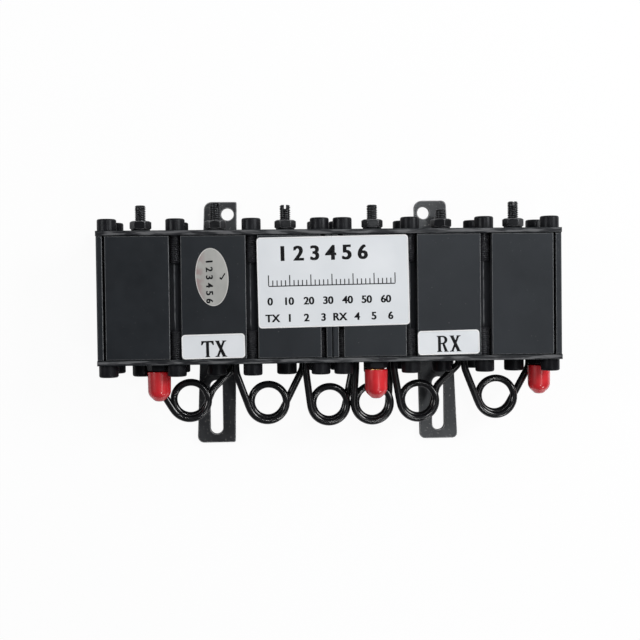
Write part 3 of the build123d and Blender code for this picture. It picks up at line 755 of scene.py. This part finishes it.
def cablePath(route, face):
    # Down the left leg, on a helix from front to back whose radius shrinks in its first turn, up the right.
    leftKnees, middle, mean, rightKnees = route
    left, right, (centre,) = ([(x, face - drop) for x, drop in knees]
                              for knees in (leftKnees, rightKnees, [middle]))
    first, last = mean + cables["spread"], mean - cables["spread"]
    start = tangentAngle(centre, left[-1], first, True)
    turn = tangentAngle(centre, right[0], last, False) - start
    turn += fullTurn * math.ceil(max(0.0, fullTurn - turn) / fullTurn)
    share = np.linspace(0, 1, cables["coilPoints"])
    radius = first + (last - first) * np.minimum(1, share * turn / fullTurn)
    angle = start + share * turn
    coil = np.stack([centre[0] + radius * np.cos(angle), centre[1] + radius * np.sin(angle),
                     cables["frontZ"] + (cables["backZ"] - cables["frontZ"]) * share], axis=-1)
    top = face + cables["stub"]
    front = [(x, y, cables["frontZ"]) for x, y in [(left[0][0], top), *left]]
    back = [(x, y, cables["backZ"]) for x, y in [*right, (right[-1][0], top)]]
    line = even(np.concatenate([front, coil, back]), cables["step"])
    return softened(line, cables["softening"] / cables["step"])


def tube(path, radius, count):
    # A circle square to the path at each of its points; the frame leans on Z, which the path never follows.
    along = np.gradient(path, axis=0)
    along /= np.linalg.norm(along, axis=1)[:, None]
    side = np.cross(along, (0.0, 0.0, 1.0))
    side /= np.linalg.norm(side, axis=1)[:, None]
    other = np.cross(along, side)
    angle = around(count)[None, :, None]
    return skin(path[:, None] + radius * (side[:, None] * np.cos(angle) + other[:, None] * np.sin(angle)))


for number, route in enumerate(cables["routes"], 1):
    path = cablePath(route, plateFace)
    name = f"coax_loop_{number}"
    makePiece(f"phasingCable{number}", [tube(path, cables["radius"], cables["count"])],
              [finishes["sleeve"]], "housing", [name], sharp=60.0)
    print(name, "length", round(float(np.linalg.norm(np.diff(path, axis=0), axis=1).sum()), 1))

# Prints: flat black shapes a hair above their label and turned with it. A place is x and y from the
# label's middle, in its own directions. Numbers name the cavities; no wording is taken over.
prints = {
    "rise": 0.02, "sink": 0.01, "turn": 0.8, "boldness": 0.018, "layer": 0.004,
    "markHeight": 5.9, "markWeight": 0.062, "markSpread": 0.41, "markLayer": 0.001,
    "marks": {"tx": ("T", "X", (0.3, -0.9)), "rx": ("R", "X", (0.0, -0.45))},
    "heading": {"words": ["1", "2", "3", "4", "5", "6"], "height": 5.4, "y": 10.5, "from": -18.3,
                "to": 10.9, "weight": 0.2},
    "scale": {"y": 0.8, "from": -23.6, "to": 22.5, "steps": 30, "tall": 3.8, "short": 1.9, "line": 0.36},
    "rows": [
        {"words": ["0", "10", "20", "30", "40", "50", "60"], "height": 2.8, "y": -6.8, "from": -23.2,
         "to": 19.0, "weight": 0.1},
        {"words": ["TX", "1", "2", "3", "RX", "4", "5", "6"], "height": 2.8, "y": -12.9, "from": -22.4,
         "to": 20.6, "weight": 0.1},
    ],
    "sticker": {"turn": -86.0, "digits": "123456", "height": 2.5, "x": -0.9, "from": 5.6, "to": -8.6,
                "weight": 0.09,
                "tick": [[(2.6, -0.4), (3.1, -0.9), (3.5, -0.5), (3.0, 0.0)],
                         [(3.1, -0.9), (3.5, -1.0), (4.9, 1.2), (4.5, 1.4)]]},
}
# Serif capitals as convex outlines in a cell one unit high, centred on the origin
serifCapitals = {
    "T": [
        [(-0.08, -0.44), (0.08, -0.44), (0.08, 0.46), (-0.08, 0.46)],
        [(-0.36, 0.4), (0.36, 0.4), (0.36, 0.5), (-0.36, 0.5)],
        [(-0.385, 0.24), (-0.33, 0.24), (-0.22, 0.42), (-0.36, 0.5)],
        [(0.33, 0.24), (0.385, 0.24), (0.36, 0.5), (0.22, 0.42)],
        [(-0.16, -0.5), (0.16, -0.5), (0.08, -0.42), (-0.08, -0.42)],
    ],
    "X": [
        [(0.12, -0.5), (0.31, -0.5), (-0.14, 0.5), (-0.33, 0.5)],
        [(-0.27, -0.5), (-0.15, -0.5), (0.25, 0.5), (0.13, 0.5)],
        [(-0.37, -0.5), (-0.08, -0.5), (-0.15, -0.43), (-0.3, -0.43)],
        [(0.06, -0.5), (0.38, -0.5), (0.3, -0.43), (0.13, -0.43)],
        [(-0.3, 0.43), (-0.13, 0.43), (-0.07, 0.5), (-0.37, 0.5)],
        [(0.13, 0.43), (0.28, 0.43), (0.34, 0.5), (0.06, 0.5)],
    ],
    "R": [
        [(-0.26, -0.44), (-0.1, -0.44), (-0.1, 0.46), (-0.26, 0.46)],
        [(-0.35, -0.5), (-0.01, -0.5), (-0.1, -0.42), (-0.26, -0.42)],
        [(-0.26, 0.42), (0.1, 0.42), (0.06, 0.5), (-0.36, 0.5)],
        [(-0.12, -0.02), (0.08, -0.02), (0.1, 0.06), (-0.12, 0.06)],
        [(0.0, 0.02), (0.13, 0.02), (0.33, -0.5), (0.16, -0.5)],
        [(0.1, -0.5), (0.39, -0.5), (0.32, -0.43), (0.16, -0.43)],
    ] + [
        [(0.02 + r * math.cos(a), 0.24 + s * math.sin(a)) for r, s, a in
         ((0.13, 0.18, low), (0.29, 0.26, low), (0.29, 0.26, low + 0.36), (0.13, 0.18, low + 0.36))]
        for low in np.linspace(-math.pi / 2, math.pi / 2 - 0.36, 9)
    ],
}


def flatShape(outline, top):  # a convex outline in millimetres, run anticlockwise, made a hair thick
    outline = np.array(outline, float)
    levels = (top - prints["sink"], top + prints["rise"])
    return skin(np.stack([np.column_stack([outline, np.full(len(outline), level)]) for level in levels]))


def turnedBy(points, degrees):  # points of the plane turned anticlockwise
    c, s = math.cos(math.radians(degrees)), math.sin(math.radians(degrees))
    return np.array(points, float) @ np.array([[c, s], [-s, c]])


def textShell(words, height, middle, top, degrees):
    # Plain figures from Blender's own font: scaled to their height, centred, turned and set on the label.
    curve = bpy.data.curves.new(words, "FONT")
    curve.body = words
    curve.extrude = 0.01
    curve.offset = prints["boldness"]
    holder = bpy.data.objects.new(words, curve)
    collection.objects.link(holder)
    bpy.context.view_layer.update()
    evaluated = holder.evaluated_get(bpy.context.evaluated_depsgraph_get())
    source = bpy.data.meshes.new_from_object(evaluated)
    bpy.data.objects.remove(holder)
    source.calc_loop_triangles()
    points = np.zeros(len(source.vertices) * 3)
    source.vertices.foreach_get("co", points)
    triangles = np.zeros(len(source.loop_triangles) * 3, dtype=np.int32)
    source.loop_triangles.foreach_get("vertices", triangles)
    points = points.reshape(-1, 3)
    low, high = points.min(axis=0), points.max(axis=0)
    points = (points - (low + high) / 2) * (height / (high[1] - low[1]))
    level = np.where(points[:, 2] > 0, top + prints["rise"], top - prints["sink"])
    flat = turnedBy(points[:, :2], degrees) + middle
    return np.column_stack([flat, level]), np.zeros((0, 4), int), triangles.reshape(-1, 3)


def labelPlace(node):  # middle of a label and the height of its face
    low, high = spanOf(node)
    return ((low + high) / 2)[:2], high[2]


for port, (first, second, offset) in prints["marks"].items():
    middle, top = labelPlace(f"{port}_label")
    shells = []
    for letter, side in ((first, -1), (second, 1)):
        start = np.array(offset) + [side * prints["markHeight"] * prints["markSpread"], 0]
        for part, outline in enumerate(serifCapitals[letter]):
            for twin, shift in enumerate((-prints["markWeight"], prints["markWeight"])):
                points = np.array(outline) * prints["markHeight"] + start + [shift, 0]
                level = top + prints["markLayer"] * (2 * part + twin)
                shells.append(flatShape(turnedBy(points, prints["turn"]) + middle, level))
    makePiece(f"{port}Mark", shells, [finishes["ink"]], "housing")

middle, top = labelPlace("main_label")
shells = []
for row in [prints["heading"]] + prints["rows"]:
    for words, x in zip(row["words"], np.linspace(row["from"], row["to"], len(row["words"]))):
        for shift in (-row["weight"], row["weight"]):
            place = turnedBy([(x + shift, row["y"])], prints["turn"])[0] + middle
            level = top + prints["layer"] * (shift > 0)
            shells.append(textShell(words, row["height"], place, level, prints["turn"]))
ruler = prints["scale"]
base = ruler["y"] - ruler["tall"] / 2
for number, x in enumerate(np.linspace(ruler["from"], ruler["to"], ruler["steps"] + 1)):
    reach = ruler["tall"] if number % 5 == 0 else ruler["short"]
    half = ruler["line"] / 2
    outline = [(x - half, base), (x + half, base), (x + half, base + reach), (x - half, base + reach)]
    shells.append(flatShape(turnedBy(outline, prints["turn"]) + middle, top))
under = base - ruler["line"]
outline = [(ruler["from"], under), (ruler["to"], under), (ruler["to"], base), (ruler["from"], base)]
shells.append(flatShape(turnedBy(outline, prints["turn"]) + middle, top))
makePiece("mainPrint", shells, [finishes["ink"]], "housing")

middle, top = labelPlace("oval_sticker")
sticker = prints["sticker"]
shells = []
heights = np.linspace(sticker["from"], sticker["to"], len(sticker["digits"]))
for digit, y in zip(sticker["digits"], heights):
    for shift in (-sticker["weight"], sticker["weight"]):
        place = middle + [sticker["x"], y + shift]
        level = top + prints["layer"] * (shift > 0)
        shells.append(textShell(digit, sticker["height"], place, level, sticker["turn"]))
shells += [flatShape(np.array(outline) + middle, top) for outline in sticker["tick"]]
makePiece("stickerPrint", shells, [finishes["ink"]], "housing")

# Rims: the bare white border round each print, as a strip along the label's edge
rims = {
    "width": 0.45, "inset": 0.04, "rise": 0.02, "sink": 0.02, "corner": 1.3, "count": 8,
    "boxes": {"main_label": (55.2, 32.9), "tx_label": (22.8, 8.9), "rx_label": (22.8, 8.9)},
    "oval": {"node": "oval_sticker", "radii": (5.95, 10.5), "turn": 4.0, "width": 0.3, "count": 72},
}


def boxOutline(size, radius, inset):  # rounded rectangle, run anticlockwise, drawn in by inset
    points = []
    for quarter, side in enumerate(((1, 1), (-1, 1), (-1, -1), (1, -1))):
        angle = np.linspace(quarter, quarter + 1, rims["count"]) * math.pi / 2
        corner = (np.array(size) / 2 - radius) * side
        points.append(corner + (radius - inset) * np.column_stack([np.cos(angle), np.sin(angle)]))
    return np.concatenate(points)


def ovalOutline(radii, count, inset):  # ellipse, run anticlockwise, drawn in by inset
    angle = around(count)
    return np.column_stack([(radii[0] - inset) * np.cos(angle), (radii[1] - inset) * np.sin(angle)])


def rimShell(outer, inner, degrees, middle, top):  # outer wall, top, inner wall and underside in turn
    levels = (top - rims["sink"], top + rims["rise"], top + rims["rise"], top - rims["sink"])
    flats = [turnedBy(outline, degrees) + middle for outline in (outer, outer, inner, inner)]
    rings = [np.column_stack([flat, np.full(len(flat), level)]) for flat, level in zip(flats, levels)]
    return skin(np.stack(rings), closedAlong=True)


shells = []
for node, size in rims["boxes"].items():
    middle, top = labelPlace(node)
    outer, inner = (boxOutline(size, rims["corner"], rims["inset"] + width) for width in (0, rims["width"]))
    shells.append(rimShell(outer, inner, prints["turn"], middle, top))
makePiece("labelRims", shells, [finishes["rim"]], "housing")
oval = rims["oval"]
middle, top = labelPlace(oval["node"])
outer, inner = (ovalOutline(oval["radii"], oval["count"], rims["inset"] + width)
                for width in (0, oval["width"]))
makePiece("stickerRim", [rimShell(outer, inner, oval["turn"], middle, top)], [finishes["paleRim"]],
          "housing")
print("labels printed")

# Floor: pale, lets the camera see white and keeps part of the object's shadow
floorSettings = {"size": 4000.0, "drop": 0.05, "colour": (0.86, 0.86, 0.87, 1), "glow": 0.94}


def makeFloor(settings):
    half = settings["size"] / 2
    corners = np.array([(-half, -half), (half, -half), (half, half), (-half, half)])
    points = np.column_stack([corners, np.full(4, -settings["drop"])]) * mm
    mesh = bpy.data.meshes.new("paleFloor")
    mesh.from_pydata(points, [], [(0, 1, 2, 3)])
    material, shader = newFinish("paleFloor", Roughness=0.8)
    shader.inputs["Base Color"].default_value = settings["colour"]
    tree = material.node_tree
    glow = wire(material, "ShaderNodeEmission", {"Color": (1, 1, 1, 1), "Strength": 1.0})
    path = wire(material, "ShaderNodeLightPath")
    share = times(material, path.outputs["Is Camera Ray"], settings["glow"])
    mix = wire(material, "ShaderNodeMixShader", {0: share, 1: shader.outputs[0], 2: glow.outputs[0]})
    tree.links.new(mix.outputs[0], tree.nodes["Material Output"].inputs["Surface"])
    mesh.materials.append(material)
    floor = bpy.data.objects.new("paleFloor", mesh)
    collection.objects.link(floor)


makeFloor(floorSettings)
print("floor laid")
